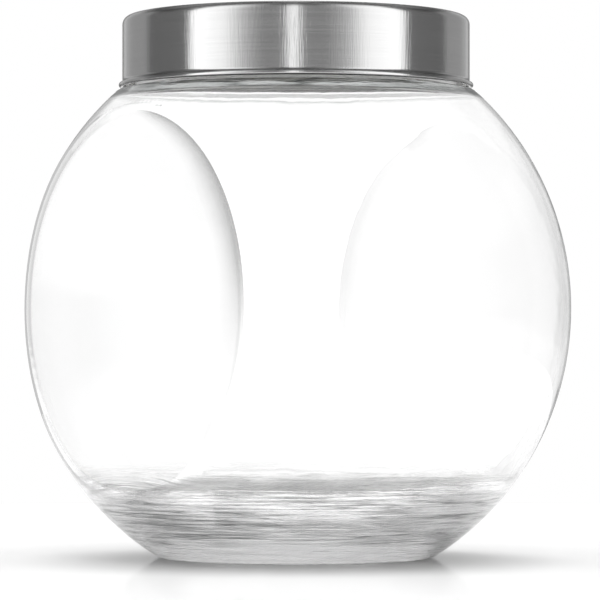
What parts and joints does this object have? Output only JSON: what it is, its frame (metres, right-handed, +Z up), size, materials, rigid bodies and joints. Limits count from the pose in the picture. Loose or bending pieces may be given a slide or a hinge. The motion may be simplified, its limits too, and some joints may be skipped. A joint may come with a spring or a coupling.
{
  "type": "lidded glass canister",
  "caption": "Ball-shaped clear glass storage jar with two parallel round flats, a thick base and a brushed steel lid that screws on.",
  "frame": {"origin": "centre of the base, on the surface the jar stands on", "axes": "+Z up along the axis of the neck and lid; the two flats of the body face +Y and -Y"},
  "size_m": [0.183, 0.137, 0.1801],
  "materials": {
    "clear_glass": "fire-polished clear soda-lime glass",
    "brushed_steel": "brushed round the skirt, satin",
    "liner_plastic": "moulded white polypropylene",
    "seal_silicone": "matt translucent white silicone"
  },
  "bodies": {
    "jar": {"jar_body": "clear_glass"},
    "seal": {"seal_ring": "seal_silicone"},
    "lid": {"thread_insert": "liner_plastic", "lid_shell": "brushed_steel"}
  },
  "joints": [
    {"name": "lid_rise", "type": "slide", "parent": "jar", "child": "seal", "axis": [0, 0, 1], "range_m": [0, 0.072]},
    {"name": "lid_turn", "type": "hinge", "parent": "seal", "child": "lid", "pos_m": [0, 0, 0.168], "axis": [0, 0, 1], "range_deg": [0, 1080]}
  ],
  "couplings": [
    {"joint": "lid_rise", "follows": "lid_turn", "m_per_rad": 0.0038197}
  ]
}
